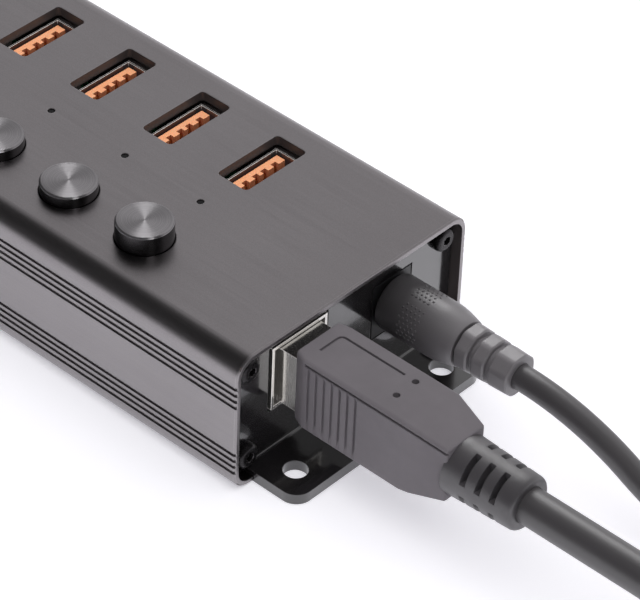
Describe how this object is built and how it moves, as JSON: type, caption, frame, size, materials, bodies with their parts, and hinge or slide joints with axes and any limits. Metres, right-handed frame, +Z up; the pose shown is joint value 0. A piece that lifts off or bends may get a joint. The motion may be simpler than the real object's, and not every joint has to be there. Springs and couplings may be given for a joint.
{
  "type": "usb hub",
  "caption": "Long metal desktop USB hub: upright sockets along the top, a latching power button beside each, bolt-down end plates, data and power leads plugged into one end.",
  "frame": {"origin": "centre of the housing's flat underside", "axes": "+X along the hub towards the end with the leads, +Y across it towards the row of sockets, +Z up out of the top face"},
  "size_m": [0.2522, 0.054, 0.0304],
  "materials": {
    "anodised_housing": "satin bead-blasted anodising",
    "black_plate": "gloss powder coat",
    "black_screw": "black oxide, satin",
    "circuit_board": "solder mask",
    "black_component": "moulded",
    "led_package": "white package",
    "clear_rod": "clear acrylic",
    "gold_contact": "gold plated",
    "switch_case": "moulded",
    "nickel_shell": "bright nickel plating",
    "blue_insulator": "moulded",
    "nickel_pin": "nickel plating",
    "soft_overmould": "matte moulded",
    "cable_jacket": "matte extruded",
    "wire_core": "wire insulation",
    "orange_insulator": "moulded",
    "button_metal": "turned top, anodised",
    "switch_plunger": "moulded",
    "spring_steel": "drawn wire"
  },
  "bodies": {
    "hub": {"housing": "anodised_housing", "front_end_plate": "black_plate", "rear_end_plate": "black_plate", "front_plate_screws": "black_screw", "rear_plate_screws": "black_screw", "main_board": "circuit_board", "board_chips": "black_component", "status_leds": "led_package", "light_pipes": "clear_rod", "usb_a_contacts": "gold_contact", "switch_bodies": "switch_case", "usb_b_shell": "nickel_shell", "usb_b_insulator": "blue_insulator", "usb_b_contacts": "gold_contact", "dc_jack_body": "black_component", "dc_jack_pin": "nickel_pin", "usb_a_shell_1": "nickel_shell", "usb_a_tongue_1": "orange_insulator", "switch_spring_1": "spring_steel", "usb_a_shell_2": "nickel_shell", "usb_a_tongue_2": "orange_insulator", "switch_spring_2": "spring_steel", "usb_a_shell_3": "nickel_shell", "usb_a_tongue_3": "orange_insulator", "switch_spring_3": "spring_steel", "usb_a_shell_4": "nickel_shell", "usb_a_tongue_4": "orange_insulator", "switch_spring_4": "spring_steel", "usb_a_shell_5": "nickel_shell", "usb_a_tongue_5": "orange_insulator", "switch_spring_5": "spring_steel", "usb_a_shell_6": "nickel_shell", "usb_a_tongue_6": "orange_insulator", "switch_spring_6": "spring_steel", "usb_a_shell_7": "nickel_shell", "usb_a_tongue_7": "orange_insulator", "switch_spring_7": "spring_steel"},
    "usb_lead": {"usb_plug_nose": "nickel_shell", "usb_plug_overmould": "soft_overmould", "usb_cable_jacket": "cable_jacket", "usb_cable_cores": "wire_core"},
    "dc_lead": {"dc_plug_barrel": "nickel_pin", "dc_plug_overmould": "soft_overmould", "dc_cable_jacket": "cable_jacket", "dc_cable_cores": "wire_core"},
    "button_1": {"button_cap_1": "button_metal", "switch_plunger_1": "switch_plunger"},
    "button_2": {"button_cap_2": "button_metal", "switch_plunger_2": "switch_plunger"},
    "button_3": {"button_cap_3": "button_metal", "switch_plunger_3": "switch_plunger"},
    "button_4": {"button_cap_4": "button_metal", "switch_plunger_4": "switch_plunger"},
    "button_5": {"button_cap_5": "button_metal", "switch_plunger_5": "switch_plunger"},
    "button_6": {"button_cap_6": "button_metal", "switch_plunger_6": "switch_plunger"},
    "button_7": {"button_cap_7": "button_metal", "switch_plunger_7": "switch_plunger"}
  },
  "joints": [
    {"name": "button_1_press", "type": "slide", "parent": "hub", "child": "button_1", "axis": [0, 0, -1], "range_m": [0, 0.002], "deforming": ["switch_spring_1"]},
    {"name": "button_2_press", "type": "slide", "parent": "hub", "child": "button_2", "axis": [0, 0, -1], "range_m": [-0.0015, 0.0005], "deforming": ["switch_spring_2"]},
    {"name": "button_3_press", "type": "slide", "parent": "hub", "child": "button_3", "axis": [0, 0, -1], "range_m": [-0.0015, 0.0005], "deforming": ["switch_spring_3"]},
    {"name": "button_4_press", "type": "slide", "parent": "hub", "child": "button_4", "axis": [0, 0, -1], "range_m": [0, 0.002], "deforming": ["switch_spring_4"]},
    {"name": "button_5_press", "type": "slide", "parent": "hub", "child": "button_5", "axis": [0, 0, -1], "range_m": [0, 0.002], "deforming": ["switch_spring_5"]},
    {"name": "button_6_press", "type": "slide", "parent": "hub", "child": "button_6", "axis": [0, 0, -1], "range_m": [0, 0.002], "deforming": ["switch_spring_6"]},
    {"name": "button_7_press", "type": "slide", "parent": "hub", "child": "button_7", "axis": [0, 0, -1], "range_m": [0, 0.002], "deforming": ["switch_spring_7"]},
    {"name": "usb_plug_pull", "type": "slide", "parent": "hub", "child": "usb_lead", "axis": [1, 0, 0], "range_m": [0, 0.02]},
    {"name": "dc_plug_pull", "type": "slide", "parent": "hub", "child": "dc_lead", "axis": [1, 0, 0], "range_m": [0, 0.015]}
  ]
}
